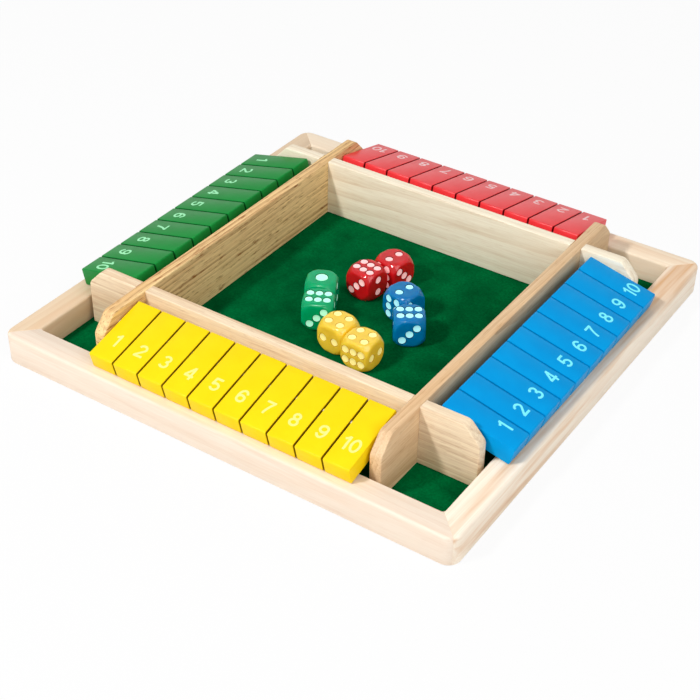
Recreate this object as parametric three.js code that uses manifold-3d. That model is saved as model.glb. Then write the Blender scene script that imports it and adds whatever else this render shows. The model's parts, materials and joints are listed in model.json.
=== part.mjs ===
// Four-player shut the box game: a low square tray with a felt floor, a taller inner frame,
// four rows of ten hinged number tiles and eight dice.
// Millimetres, +Z up. Origin: centre of the underside. The yellow row faces -Y and the blue row +X.

import * as THREE from 'three';
import { mergeVertices } from 'three/addons/utils/BufferGeometryUtils.js';
import Module from 'manifold-3d';

// Outer tray
const boardSize = 250;
const railWidth = 13.2;
const railHeight = 15.7;
const railCornerRadius = 6.5;
const railInnerRadius = 2;
const railEdgeBevel = 0.9;
const baseThickness = 2;
const baseLedge = 5;
const baseCornerRadius = 1;
const feltThickness = 0.6;
const traySeatGap = 0.1;

// Inner frame: four boards halved into each other, whose ends run on as hinge cheeks
const wallHeight = 31.6;
const wallThickness = 6;
const wallEdgeBevel = 0.5;
const cheekEndGap = 2.6;
const cheekChamferLength = 7.8;
const cheekChamferDrop = 8.4;
const lapClearance = 0.1;

// Number tiles
const tilesPerRow = 10;
const tileLength = 37.2;
const tileThickness = 9;
const tileGap = 1;
const rowEndGap = 1.8;
const tileSideBevel = 0.6;
const tileEndBevel = 0.8;
const tileRestReach = 7.2;
const tileRestGap = 0.3;
const tileSwingClearance = 4;

// Hinge rods
const rodDiameter = 2.4;
const rodEndChamfer = 0.3;
const rodDrop = 6.8;
const rodFromInnerEnd = 13.4;
const rodDepth = 2.8;
const rodRunningClearance = 0.3;
const rodSeatClearance = 0.1;
const rodSeatDepth = 4;
const rodEndGap = 0.2;

// Dice
const dieSize = 16;
const dieCornerCut = 3;
const dieEdgeCut = 0.6;
const pipDiameter = 3.9;
const bigPipDiameter = 6.2;
const pipDepth = 0.5;
const pipSpread = 3.5;
const sixLongSpread = 4.45;
const sixShortSpread = 2.8;

// How far a cutter runs past the face that it opens
const cutOverrun = 1;

// Facets on round forms
const cornerSegments = 5;
const railEdgeSegments = 2;
const roundSegments = 12;
const pipSides = 8;
const ballDetail = 4;

// Levels and distances from the centre that follow from the sizes above
const feltTop = baseThickness + feltThickness;
const wallTop = feltTop + wallHeight;
const railInnerFace = boardSize / 2 - railWidth;
const rodHeight = wallTop - rodDrop;
const rodRadius = rodDiameter / 2;

// An open tile lies on the rail by the lower corner of its outer end.
// restLever joins that corner to the rod, and restAngle is how far the lever points down.
const tileBelowRod = tileThickness - rodDepth;
const tileBeyondRod = tileLength - rodFromInnerEnd;
const restLever = Math.hypot(tileBeyondRod - tileEndBevel, tileBelowRod);
const restAngle = Math.asin((rodHeight - railHeight - tileRestGap) / restLever);
const tileTilt = restAngle - Math.atan2(tileBelowRod, tileBeyondRod - tileEndBevel);
const rodDistance = railInnerFace + tileRestReach - restLever * Math.cos(restAngle);

// The inner frame stands clear of the circle that a tile's inner end swings through.
const tileSwingRadius = Math.hypot(rodFromInnerEnd, Math.max(rodDepth, tileBelowRod));
const wallOuterFace = rodDistance - tileSwingRadius - tileSwingClearance;
const wallInnerFace = wallOuterFace - wallThickness;
const wallMiddle = (wallOuterFace + wallInnerFace) / 2;
const cheekEnd = railInnerFace - cheekEndGap;

// Ten tiles and their gaps fill the length between two cheeks.
const tilePitch = (2 * wallInnerFace - 2 * rowEndGap + tileGap) / tilesPerRow;
const tileWidth = tilePitch - tileGap;

const quarterTurn = Math.PI / 2;

const wasm = await Module();
wasm.setup();

const colours = {
  paleWood: 0xf3dcc0,
  grainedWood: 0xdcc093,
  baseWood: 0xcfa878,
  felt: 0x00602f,
  steel: 0xb8bcc0,
  yellowPaint: 0xffe81a,
  bluePaint: 0x00a4ec,
  redPaint: 0xe04a4a,
  greenPaint: 0x2a9e4a,
  greenDie: 0x009b5a,
  redDie: 0xd71928,
  blueDie: 0x006ebe,
  yellowDie: 0xf0c428,
};

function material(name, roughness, metalness = 0) {
  return new THREE.MeshStandardMaterial({ color: colours[name], roughness, metalness });
}

function part(name, geometry, finish) {
  const mesh = new THREE.Mesh(geometry, finish);
  mesh.name = name;
  return mesh;
}

// A closed three.js geometry as a solid that can be cut and joined.
function toSolid(geometry) {
  const bare = geometry.clone();
  bare.deleteAttribute('normal');
  bare.deleteAttribute('uv');
  const merged = mergeVertices(bare);
  return new wasm.Manifold(new wasm.Mesh({
    numProp: 3,
    vertProperties: new Float32Array(merged.attributes.position.array),
    triVerts: new Uint32Array(merged.index.array),
  }));
}

function toGeometry(solid) {
  const mesh = solid.getMesh();
  const geometry = new THREE.BufferGeometry();
  geometry.setAttribute('position', new THREE.BufferAttribute(mesh.vertProperties, 3));
  geometry.setIndex(new THREE.BufferAttribute(mesh.triVerts, 1));
  geometry.computeVertexNormals();
  return geometry;
}

// An extrusion of the given full thickness with its edges bevelled inside its outline,
// centred on its own thickness.
function bevelledSlab(shape, thickness, bevel, bevelSegments = 1) {
  const geometry = new THREE.ExtrudeGeometry(shape, {
    depth: thickness - 2 * bevel,
    bevelThickness: bevel,
    bevelSize: bevel,
    bevelOffset: -bevel,
    bevelSegments,
    curveSegments: cornerSegments,
  });
  geometry.translate(0, 0, bevel - thickness / 2);
  return geometry;
}

function squareOutline(path, half, radius) {
  const straight = half - radius;
  path.moveTo(half, -straight);
  path.lineTo(half, straight);
  path.absarc(straight, straight, radius, 0, quarterTurn);
  path.absarc(-straight, straight, radius, quarterTurn, 2 * quarterTurn);
  path.absarc(-straight, -straight, radius, 2 * quarterTurn, 3 * quarterTurn);
  path.absarc(straight, -straight, radius, 3 * quarterTurn, 4 * quarterTurn);
  return path;
}

// The tray's mitred and glued rails as one ring, rebated underneath for the base board.
function outerFrame() {
  const outline = squareOutline(new THREE.Shape(), boardSize / 2, railCornerRadius);
  outline.holes.push(squareOutline(new THREE.Path(), railInnerFace, railInnerRadius));
  const ring = bevelledSlab(outline, railHeight, railEdgeBevel, railEdgeSegments);
  ring.translate(0, 0, railHeight / 2);
  const rebateSize = 2 * (railInnerFace + baseLedge);
  const rebate = new THREE.BoxGeometry(rebateSize, rebateSize, baseThickness + cutOverrun);
  rebate.translate(0, 0, (baseThickness - cutOverrun) / 2);
  return toGeometry(toSolid(ring).subtract(toSolid(rebate)));
}

function sheet(half, radius, bottom, thickness) {
  const outline = squareOutline(new THREE.Shape(), half, radius);
  const geometry = new THREE.ExtrudeGeometry(outline, {
    depth: thickness,
    bevelEnabled: false,
    curveSegments: cornerSegments,
  });
  geometry.translate(0, 0, bottom);
  return geometry;
}

function uprightCylinder(radius, height) {
  return new THREE.CylinderGeometry(radius, radius, height, roundSegments);
}

// One board of the inner frame, drawn as the front one. Where two boards cross, each keeps
// one half of its height. lapFromTop says which half is cut away.
function wallBoard(lapFromTop) {
  const outline = new THREE.Shape();
  outline.moveTo(-cheekEnd, feltTop);
  outline.lineTo(cheekEnd, feltTop);
  outline.lineTo(cheekEnd, wallTop - cheekChamferDrop);
  outline.lineTo(cheekEnd - cheekChamferLength, wallTop);
  outline.lineTo(-cheekEnd + cheekChamferLength, wallTop);
  outline.lineTo(-cheekEnd, wallTop - cheekChamferDrop);
  outline.closePath();
  const slab = bevelledSlab(outline, wallThickness, wallEdgeBevel);
  slab.rotateX(quarterTurn);
  slab.translate(0, -wallMiddle, 0);
  let board = toSolid(slab);

  const lapWidth = wallThickness + 2 * lapClearance;
  const lapHeight = wallHeight / 2 + lapClearance / 2 + cutOverrun;
  const lapMiddle = lapFromTop
    ? wallTop + cutOverrun - lapHeight / 2
    : feltTop - cutOverrun + lapHeight / 2;
  const seatDepth = rodSeatDepth + rodEndGap;
  for (const side of [-1, 1]) {
    const lap = new THREE.BoxGeometry(lapWidth, wallThickness + 2 * cutOverrun, lapHeight);
    lap.translate(side * wallMiddle, -wallMiddle, lapMiddle);
    board = board.subtract(toSolid(lap));
    const seat = uprightCylinder(rodRadius + rodSeatClearance, seatDepth + cutOverrun);
    seat.translate(side * rodDistance, -wallInnerFace + (cutOverrun - seatDepth) / 2, rodHeight);
    board = board.subtract(toSolid(seat));
  }
  return toGeometry(board);
}

// A tile seen from its side, with the rod's hole at the origin and the outer end along +X.
function tileGeometry() {
  const inner = -rodFromInnerEnd;
  const outer = tileBeyondRod;
  const low = -tileBelowRod;
  const outline = new THREE.Shape();
  outline.moveTo(inner + tileEndBevel, low);
  outline.lineTo(outer - tileEndBevel, low);
  outline.lineTo(outer, low + tileEndBevel);
  outline.lineTo(outer, rodDepth - tileEndBevel);
  outline.lineTo(outer - tileEndBevel, rodDepth);
  outline.lineTo(inner + tileEndBevel, rodDepth);
  outline.lineTo(inner, rodDepth - tileEndBevel);
  outline.lineTo(inner, low + tileEndBevel);
  outline.closePath();
  const slab = bevelledSlab(outline, tileWidth, tileSideBevel);
  slab.rotateX(quarterTurn);
  const hole = uprightCylinder(rodRadius + rodRunningClearance, tileWidth + 2 * cutOverrun);
  const tile = toGeometry(toSolid(slab).subtract(toSolid(hole)));
  tile.rotateZ(-quarterTurn);
  return tile;
}

// A rod along X with chamfered ends, as long as the space between the cheeks and both seats.
function rodGeometry() {
  const half = wallInnerFace + rodSeatDepth;
  const profile = [
    new THREE.Vector2(0, -half),
    new THREE.Vector2(rodRadius - rodEndChamfer, -half),
    new THREE.Vector2(rodRadius, -half + rodEndChamfer),
    new THREE.Vector2(rodRadius, half - rodEndChamfer),
    new THREE.Vector2(rodRadius - rodEndChamfer, half),
    new THREE.Vector2(0, half),
  ];
  return new THREE.LatheGeometry(profile, roundSegments).rotateZ(quarterTurn);
}

// Where the faces of a die lie on its own axes, and the pips on each, in that face's plane.
const dieFaces = {
  1: { normal: [0, 0, 1], across: [1, 0, 0], pips: [[0, 0]] },
  2: { normal: [1, 0, 0], across: [0, 0, 1], pips: [[-pipSpread, 0], [pipSpread, 0]] },
  3: { normal: [0, 1, 0], across: [1, 0, 0], pips: [[-pipSpread, -pipSpread], [0, 0], [pipSpread, pipSpread]] },
  4: { normal: [0, -1, 0], across: [1, 0, 0], pips: fourCorners(pipSpread) },
  5: { normal: [-1, 0, 0], across: [0, 0, 1], pips: [[0, 0], ...fourCorners(pipSpread)] },
  6: { normal: [0, 0, -1], across: [1, 0, 0], pips: twoRowsOfThree() },
};

function fourCorners(spread) {
  return [[-spread, -spread], [spread, -spread], [spread, spread], [-spread, spread]];
}

function twoRowsOfThree() {
  return [-sixLongSpread, 0, sixLongSpread].flatMap(
    (along) => [[along, -sixShortSpread], [along, sixShortSpread]],
  );
}

// A cube whose edges are taken off by three turned cubes and its corners by a ball,
// with a shallow drilled dimple for each pip.
function dieGeometry() {
  let die = toSolid(new THREE.BoxGeometry(dieSize, dieSize, dieSize));
  const turnedSize = dieSize * Math.SQRT2 - 2 * dieEdgeCut;
  for (const turn of ['rotateX', 'rotateY', 'rotateZ']) {
    const turnedCube = new THREE.BoxGeometry(turnedSize, turnedSize, turnedSize);
    turnedCube[turn](quarterTurn / 2);
    die = die.intersect(toSolid(turnedCube));
  }
  const ballRadius = (dieSize * Math.sqrt(3)) / 2 - dieCornerCut;
  die = die.intersect(toSolid(new THREE.IcosahedronGeometry(ballRadius, ballDetail)));
  for (const face of Object.values(dieFaces)) {
    const normal = new THREE.Vector3(...face.normal);
    const across = new THREE.Vector3(...face.across);
    const along = new THREE.Vector3().crossVectors(normal, across);
    const diameter = face.pips.length === 1 ? bigPipDiameter : pipDiameter;
    for (const [first, second] of face.pips) {
      // The cone is wider than the pip where it stands proud of the face, and meets it at full width.
      const slope = (diameter / 2) / pipDepth;
      const drill = new THREE.ConeGeometry(slope * (pipDepth + cutOverrun), pipDepth + cutOverrun, pipSides);
      drill.translate(0, -(pipDepth + cutOverrun) / 2, 0);
      const placed = new THREE.Matrix4().makeBasis(across, normal.clone().negate(), along);
      placed.setPosition(
        normal.clone().multiplyScalar(dieSize / 2 - pipDepth)
          .addScaledVector(across, first)
          .addScaledVector(along, second),
      );
      drill.applyMatrix4(placed);
      die = die.subtract(toSolid(drill));
    }
  }
  return toGeometry(die);
}

// Each die as it was thrown: the number on top, one number on its side and where that side
// faces, in degrees from +X. Its place is in shares of the die's own size from the centre.
const thrownDice = [
  { name: 'green_die_1', paint: 'greenDie', top: 1, side: 2, heading: 25, placeShares: [-1.57, -0.13] },
  { name: 'green_die_2', paint: 'greenDie', top: 6, side: 2, heading: 27, placeShares: [-1.05, -1.05] },
  { name: 'red_die_1', paint: 'redDie', top: 6, side: 2, heading: -9, placeShares: [-0.73, 1.17] },
  { name: 'red_die_2', paint: 'redDie', top: 2, side: 3, heading: -13, placeShares: [-0.36, 2.18] },
  { name: 'blue_die_1', paint: 'blueDie', top: 2, side: 6, heading: -105, placeShares: [0.91, 0.775] },
  { name: 'blue_die_2', paint: 'blueDie', top: 6, side: 2, heading: 34, placeShares: [1.69, -0.175] },
  { name: 'yellow_die_1', paint: 'yellowDie', top: 4, side: 2, heading: -95, placeShares: [0.15, -1.71] },
  { name: 'yellow_die_2', paint: 'yellowDie', top: 4, side: 2, heading: -1, placeShares: [1.195, -2.01] },
];

function dieTurn(top, side, heading) {
  const up = new THREE.Vector3(...dieFaces[top].normal);
  const out = new THREE.Vector3(...dieFaces[side].normal);
  const onDie = new THREE.Matrix4().makeBasis(out, new THREE.Vector3().crossVectors(up, out), up);
  const onBoard = new THREE.Matrix4().makeRotationZ(THREE.MathUtils.degToRad(heading));
  return onBoard.multiply(onDie.transpose());
}

const game = new THREE.Group();
game.name = 'shut_the_box';

const wood = material('paleWood', 0.6);
const feltCloth = material('felt', 0.95);
const steel = material('steel', 0.3, 1);

game.add(part('outer_frame', outerFrame(), wood));
game.add(part(
  'base_board',
  sheet(railInnerFace + baseLedge - traySeatGap, baseCornerRadius, 0, baseThickness),
  material('baseWood', 0.7),
));
game.add(part(
  'felt_sheet',
  sheet(railInnerFace - traySeatGap, railInnerRadius, baseThickness, feltThickness),
  feltCloth,
));

// The left and right boards run whole along the top, and the front and back ones underneath.
const walls = [
  { name: 'front_wall', turns: 0 },
  { name: 'right_wall', turns: 1 },
  { name: 'back_wall', turns: 2 },
  { name: 'left_wall', turns: 3 },
];
for (const { name, turns } of walls) {
  const board = part(name, wallBoard(turns % 2 === 0), material('grainedWood', 0.6));
  board.rotation.z = turns * quarterTurn;
  game.add(board);
}

// Each row is drawn as the front one and turned to its own side, tile 1 at the player's left.
const tileShape = tileGeometry();
const rows = [
  { colour: 'yellow', turns: 0 },
  { colour: 'blue', turns: 1 },
  { colour: 'red', turns: 2 },
  { colour: 'green', turns: 3 },
];
for (const { colour, turns } of rows) {
  const row = new THREE.Group();
  row.rotation.z = turns * quarterTurn;
  const rod = part(`${colour}_hinge_rod`, rodGeometry(), steel);
  rod.position.set(0, -rodDistance, rodHeight);
  row.add(rod);
  const paint = material(`${colour}Paint`, 0.35);
  for (let number = 1; number <= tilesPerRow; number += 1) {
    const tile = part(`${colour}_tile_${number}`, tileShape.clone(), paint);
    tile.position.set((number - (tilesPerRow + 1) / 2) * tilePitch, -rodDistance, rodHeight);
    tile.rotation.x = tileTilt;
    row.add(tile);
  }
  game.add(row);
}

const dieShape = dieGeometry();
for (const { name, paint, top, side, heading, placeShares } of thrownDice) {
  const die = part(name, dieShape.clone(), material(paint, 0.15));
  die.setRotationFromMatrix(dieTurn(top, side, heading));
  die.position.set(placeShares[0] * dieSize, placeShares[1] * dieSize, feltTop + dieSize / 2);
  game.add(die);
}

export default game;
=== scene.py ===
# %% [markdown]
# # A four-player shut the box game
#
# The real game is a low tray of pine rails with a green felt floor. A taller frame of four thin
# pine boards stands on the felt and makes a dice tray in the middle, a trough on each side and a
# pocket in each corner. Ten painted tiles turn on a steel rod over each trough, and eight clear
# coloured dice lie on the felt.
#
# The moving model already exists as plain solids, called the frame here. This notebook dresses
# them: it makes each piece again with its finer shape, gives it a finish, and lets it ride on
# the body that it belongs to. Sizes and places are read from the frame, so that a new piece
# always fits.

# %% Load the frame
import json
import math

import bmesh
import bpy
from mathutils import Matrix, Vector


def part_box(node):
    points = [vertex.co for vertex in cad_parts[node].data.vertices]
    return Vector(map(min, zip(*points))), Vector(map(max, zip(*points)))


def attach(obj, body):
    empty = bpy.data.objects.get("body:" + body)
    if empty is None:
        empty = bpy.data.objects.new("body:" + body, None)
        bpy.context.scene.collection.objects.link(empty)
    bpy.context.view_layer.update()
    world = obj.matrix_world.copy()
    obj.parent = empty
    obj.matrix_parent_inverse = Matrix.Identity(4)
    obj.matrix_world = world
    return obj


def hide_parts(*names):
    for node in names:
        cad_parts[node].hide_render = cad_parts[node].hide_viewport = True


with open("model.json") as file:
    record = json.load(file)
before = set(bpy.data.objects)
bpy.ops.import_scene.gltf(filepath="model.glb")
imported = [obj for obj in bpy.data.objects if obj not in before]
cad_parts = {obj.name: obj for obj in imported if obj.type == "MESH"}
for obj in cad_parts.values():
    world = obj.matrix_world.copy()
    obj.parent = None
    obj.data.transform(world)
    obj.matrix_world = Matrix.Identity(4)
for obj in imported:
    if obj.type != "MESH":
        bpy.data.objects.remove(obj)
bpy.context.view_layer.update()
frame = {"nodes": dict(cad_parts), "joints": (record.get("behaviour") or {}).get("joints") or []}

MM = 0.001

# %% [markdown]
# ## Camera
#
# The photograph looks down on the near corner of the tray. The camera could be pushed about until
# the picture looks right. Here its place was worked out from some seventy corners of the board,
# which gives an azimuth, an elevation, a slight roll and a lens of about 75 mm. An azimuth of 0
# looks along +Y.

# %% Set up the camera
camera_azimuth = math.radians(33.27)
camera_elevation = math.radians(36.50)
camera_roll = math.radians(0.97)
camera_distance = 726.2 * MM
camera_aim = Vector((-1.6, -11.1, -11.4)) * MM
camera_lens_mm = 74.47
camera_sensor_mm = 36

towards_camera = Vector((
    math.sin(camera_azimuth) * math.cos(camera_elevation),
    -math.cos(camera_azimuth) * math.cos(camera_elevation),
    math.sin(camera_elevation),
))
level_turn = (-towards_camera).to_track_quat("-Z", "Y").to_matrix()
camera_turn = level_turn @ Matrix.Rotation(camera_roll, 3, "Z")
bpy.ops.object.camera_add(
    location=camera_aim + towards_camera * camera_distance,
    rotation=camera_turn.to_euler(),
)
camera = bpy.context.object
camera.data.lens = camera_lens_mm
camera.data.sensor_width = camera_sensor_mm
bpy.context.scene.camera = camera
print("camera at", [round(value / MM) for value in camera.location], "mm")

# %% [markdown]
# ## Modelling helpers
#
# Each piece starts from a primitive and is shaped in edit mode. An operator works on everything
# that is selected, so everything is deselected before a primitive is added. Faces and edges are
# picked in code by a test on their place or direction, as a hand would click on them.
#
# The tests share a few limits: from what part of its normal a face looks up, sideways or square
# along an axis, how close two places are when they count as one, and when an edge is sharp.

# %% Add a block, pick its parts and finish it
UPWARD = 0.9
SIDEWAYS = 0.1
SQUARE_ON = 0.99
HAIR = 0.02 * MM
SHARP = math.radians(45)


def deselect_all():
    bpy.ops.object.select_all(action="DESELECT")


def name_new(name):
    """Names the primitive that was just added."""
    piece = bpy.context.object
    piece.name = name
    piece.data.name = name
    bpy.ops.object.transform_apply(location=True, rotation=True, scale=True)
    return piece


def add_block(name, low, high):
    """A cube primitive stretched between two corners."""
    low = Vector(low)
    high = Vector(high)
    deselect_all()
    bpy.ops.mesh.primitive_cube_add(size=1, location=(low + high) / 2, scale=high - low)
    return name_new(name)


def edit(piece):
    deselect_all()
    piece.select_set(True)
    bpy.context.view_layer.objects.active = piece
    bpy.ops.object.mode_set(mode="EDIT")


def pick(kind, test):
    """In edit mode, selects the vertices, edges or faces that pass the test, and only those."""
    bpy.ops.mesh.select_all(action="DESELECT")
    bpy.ops.mesh.select_mode(type=kind)
    mesh = bmesh.from_edit_mesh(bpy.context.object.data)
    picked = 0
    for element in {"VERT": mesh.verts, "EDGE": mesh.edges, "FACE": mesh.faces}[kind]:
        if test(element):
            element.select_set(True)
            picked += 1
    mesh.select_flush_mode()
    bmesh.update_edit_mesh(bpy.context.object.data)
    return picked


def finish_shape(piece, smooth_angle=32):
    """Leaves edit mode and shades the piece smooth, except across sharp edges."""
    if piece.mode == "EDIT":
        bpy.ops.object.mode_set(mode="OBJECT")
    deselect_all()
    piece.select_set(True)
    bpy.context.view_layer.objects.active = piece
    bpy.ops.object.shade_smooth_by_angle(angle=math.radians(smooth_angle))


# %% [markdown]
# Cuts are made with the Boolean modifier, which takes one solid away from another or keeps what
# two share. The modifier is applied at once and the cutter is thrown away.
#
# A piece that repeats is modelled once, then copied with a matrix that places the copy's own
# mesh, so that every object stays at the origin.

# %% Cut, apply and copy
def apply_modifier(piece, kind, **settings):
    deselect_all()
    piece.select_set(True)
    bpy.context.view_layer.objects.active = piece
    modifier = piece.modifiers.new(kind.title(), kind)
    for name, value in settings.items():
        setattr(modifier, name, value)
    bpy.ops.object.modifier_apply(modifier=modifier.name)


def cut(piece, cutter, operation="DIFFERENCE"):
    apply_modifier(piece, "BOOLEAN", operation=operation, solver="EXACT", object=cutter)
    bpy.data.objects.remove(cutter)


def copy_of(piece, name, place=Matrix()):
    """A copy with its own mesh, moved by the matrix."""
    copy = piece.copy()
    copy.data = piece.data.copy()
    copy.data.transform(place)
    copy.name = name
    copy.data.name = name
    bpy.context.collection.objects.link(copy)
    return copy


def join(pieces, name):
    """Joins several meshes into the first one."""
    deselect_all()
    for piece in pieces:
        piece.select_set(True)
    bpy.context.view_layer.objects.active = pieces[0]
    bpy.ops.object.join()
    pieces[0].name = name
    pieces[0].data.name = name
    return pieces[0]


def quarter_turns(count):
    return Matrix.Rotation(count * math.pi / 2, 4, "Z")


# %% [markdown]
# ## Finishes
#
# A finish is a small network of shader nodes. Colours are chosen as sRGB hex values, as a picture
# shows them, and one function turns them into the linear values that a shader works in. Another
# adds a node with its settings and links, which keeps each finish short enough to read.
#
# Every pattern takes its place from Object coordinates. All pieces sit at the origin, so those
# are metres in the game's own frame, and a pattern's scale can be given as a real size.

# %% Colours and nodes
def linear(colour):
    channels = [int(colour[start:start + 2], 16) / 255 for start in (0, 2, 4)]
    return [c / 12.92 if c <= 0.04045 else ((c + 0.055) / 1.055) ** 2.4 for c in channels] + [1]


def add_node(finish, kind, inputs=None, **settings):
    """Adds a node to a finish. An input is a value, or the output of another node to link."""
    node = finish.node_tree.nodes.new("ShaderNode" + kind)
    for name, value in settings.items():
        setattr(node, name, value)
    for name, value in (inputs or {}).items():
        if isinstance(value, bpy.types.NodeSocket):
            finish.node_tree.links.new(value, node.inputs[name])
        else:
            node.inputs[name].default_value = value
    return node


def new_finish(name):
    """An empty material, with the Object coordinates that its patterns start from."""
    finish = bpy.data.materials.new(name)
    finish.use_nodes = True
    finish.node_tree.nodes.clear()
    return finish, add_node(finish, "TexCoord").outputs["Object"]


def close_finish(finish, shader):
    add_node(finish, "OutputMaterial", {"Surface": shader.outputs[0]})
    return finish


# %% [markdown]
# ## Pine
#
# Rails and boards are planed pine under a thin matt lacquer. A board is cut from a log, so its
# figure is the log's growth rings: each ring goes from wide pale earlywood to a thin darker line
# of latewood. The rings could be painted on each face as stripes. A truer way is to build the log
# itself: the Wave texture draws rings round an axis, and the board is laid in that log some way
# off its middle and a degree or two out of line. The faces then show long arcs and lines, and the
# ends show ring segments, without any seam.
#
# Noises stretched along the grain add the rest. One makes some years' rings darker than others,
# which keeps them from looking like corduroy. The others are fine fibres, short dark flecks and
# a few broad orange streaks of resin. The fibres are about 0.7 mm apart, which is coarser than
# real ones, so that they show in the render.

# %% A function for pine
WAVE_PERIOD = 2 * math.pi / 20
FIBRE_SPACING = 0.7 * MM
FIBRE_LENGTH = 35 * MM
FLECK_SPACING = 1.1 * MM
FLECK_LENGTH = 7 * MM
STREAK_SPACING = 9 * MM
STREAK_LENGTH = 160 * MM
YEARS_SPACING = 6 * MM
YEARS_LENGTH = 110 * MM
RESIN_COLOUR = "DBA368"
TIPPED = math.radians(1.2)
SWUNG = math.radians(1.5)


def stretched_noise(finish, place, length, spacing, low, high, share):
    """Noise drawn out along the grain, as a share that rises from 0 between two noise values."""
    scale = (1 / length, 1 / spacing, 1 / spacing)
    stretched = add_node(finish, "Mapping", {"Vector": place, "Scale": scale})
    noise = add_node(finish, "TexNoise", {
        "Vector": stretched.outputs[0], "Scale": 1, "Detail": 3, "Roughness": 0.6,
    })
    return add_node(finish, "MapRange", {
        "Value": noise.outputs["Fac"], "From Min": low, "From Max": high, "To Max": share,
    }).outputs[0]


def pine(name, along, earlywood, latewood, ring_width, rings, fibres, flecks, streaks, log_middle):
    """Planed pine with its grain along X or Y. The shares say how strongly each part shows."""
    finish, place = new_finish(name)
    to_grain = (0, TIPPED, SWUNG + (math.pi / 2 if along == "Y" else 0))
    in_log = add_node(finish, "Mapping", {
        "Vector": place, "Rotation": to_grain, "Location": Vector(log_middle) * MM,
    }).outputs[0]
    # The wander of the rings is drawn out along the log like everything else in it.
    drawn_out = add_node(finish, "Mapping", {"Vector": in_log, "Scale": (0.15, 1, 1)})
    wave = add_node(finish, "TexWave", {
        "Vector": drawn_out.outputs[0], "Scale": WAVE_PERIOD / (ring_width * MM),
        "Distortion": 5.5, "Detail": 3, "Detail Scale": 0.3, "Detail Roughness": 0.55,
    }, wave_type="RINGS", rings_direction="X", wave_profile="SAW")
    ring_strength = stretched_noise(finish, in_log, YEARS_LENGTH, YEARS_SPACING, 0.38, 0.62, rings)
    shares = [add_node(finish, "MapRange", {
        "Value": wave.outputs["Fac"], "From Min": 0.15, "From Max": 0.98, "To Max": ring_strength,
    }, interpolation_type="SMOOTHSTEP").outputs[0]]
    shares.append(stretched_noise(finish, in_log, FIBRE_LENGTH, FIBRE_SPACING, 0.35, 0.75, fibres))
    shares.append(stretched_noise(finish, in_log, FLECK_LENGTH, FLECK_SPACING, 0.56, 0.74, flecks))
    darkness = shares[0]
    for share in shares[1:]:
        total = add_node(finish, "Math", {0: darkness, 1: share}, operation="ADD", use_clamp=True)
        darkness = total.outputs[0]
    wood = add_node(finish, "MixRGB", {
        "Fac": darkness, "Color1": linear(earlywood), "Color2": linear(latewood),
    })
    streak = stretched_noise(finish, in_log, STREAK_LENGTH, STREAK_SPACING, 0.5, 0.72, streaks)
    colour = add_node(finish, "MixRGB", {
        "Fac": streak, "Color1": wood.outputs[0], "Color2": linear(RESIN_COLOUR),
    })
    roughness = add_node(finish, "MapRange", {"Value": darkness, "To Min": 0.68, "To Max": 0.5})
    relief = add_node(finish, "Bump", {"Height": darkness, "Strength": 0.4, "Distance": -0.15 * MM})
    shader = add_node(finish, "BsdfPrincipled", {
        "Base Color": colour.outputs[0], "Roughness": roughness.outputs[0],
        "Normal": relief.outputs[0], "IOR": 1.5, "Specular IOR Level": 0.35,
    })
    return close_finish(finish, shader)


# %% [markdown]
# No two lengths of pine are alike, so each rail and board gets its own mix and lies elsewhere in
# its log. The rails are picked for their whiteness and show little figure, except for a resin
# streak in the right one. The right rail is also paler than the others, which is partly painted
# light on its outer face. The back board is quiet too, and the left board is coarse and dark: its
# darker, warmer colour is partly its own and partly painted shade for its inner face.
#
# A mix is the colours of earlywood and latewood, the width of a ring in millimetres, how strongly
# rings, fibres, flecks and resin show, and where the piece lies in its log, in millimetres.

# %% Mix the woods
rail_looks = {
    "front": ("F2E2D0", "CFA078", 3.4, 0.18, 0.15, 0.08, 0.26, (0, 41, -33)),
    # Paler than the other rails, partly painted light for its outer face.
    "right": ("FEF2E0", "DAA876", 3.0, 0.22, 0.17, 0.10, 0.85, (30, 52, -38)),
    "back": ("F9E8D0", "E0B587", 3.2, 0.18, 0.14, 0.05, 0.30, (60, 63, -47)),
    "left": ("EAD2B4", "D0A678", 3.6, 0.18, 0.14, 0.06, 0.35, (90, 38, -51)),
}
board_looks = {
    "front": ("FAE6C6", "AE7434", 2.9, 0.34, 0.28, 0.24, 0.30, (0, 34, -70)),
    "right": ("EACBA2", "AA7038", 2.6, 0.34, 0.32, 0.30, 0.30, (40, 57, -48)),
    "back": ("FFF5DE", "C2965E", 3.4, 0.24, 0.22, 0.16, 0.15, (80, 44, -66)),
    # Darker and warmer, partly its own wood and partly painted shade for its inner face.
    "left": ("FFDC9E", "8E5014", 2.9, 0.54, 0.40, 0.75, 0.40, (120, 71, -35)),
}
SIDES = ("front", "right", "back", "left")
rail_pine = {}
board_pine = {}
for turns, side in enumerate(SIDES):
    along = "XY"[turns % 2]
    rail_pine[side] = pine(f"{side}_rail_pine", along, *rail_looks[side])
    board_pine[side] = pine(f"{side}_board_pine", along, *board_looks[side])
print("woods:", ", ".join(finish.name for finish in (*rail_pine.values(), *board_pine.values())))

# %% [markdown]
# ## The tray's rails
#
# The tray is four pine rails, mitred and glued at the corners. The glued ring is rounded at its
# outer corners, and a rebate underneath takes the base board. One rail could be made by itself,
# but the round corner runs across the mitre. So the whole ring is modelled as the joiner makes
# it, and then one rail is cut out of it along two mitres and copied to the four sides.
#
# A hairline gap and slightly eased mitre edges make each joint show as a fine line.

# %% Measure the tray
frame_low, frame_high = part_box("outer_frame")
felt_low, felt_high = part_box("felt_sheet")
base_low, base_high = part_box("base_board")
seat_gap = 0.1 * MM
rail_inner_face = felt_high.x + seat_gap
rail_width = frame_high.x - rail_inner_face
rebate_width = base_high.x + seat_gap - rail_inner_face
outer_corner_radius = 6.5 * MM
inner_corner_radius = 2 * MM
rail_edge_radius = 1.5 * MM
mitre_gap = 0.06 * MM
mitre_easing = 0.14 * MM
print(f"rails {rail_width / MM:.1f} mm wide")


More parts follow.
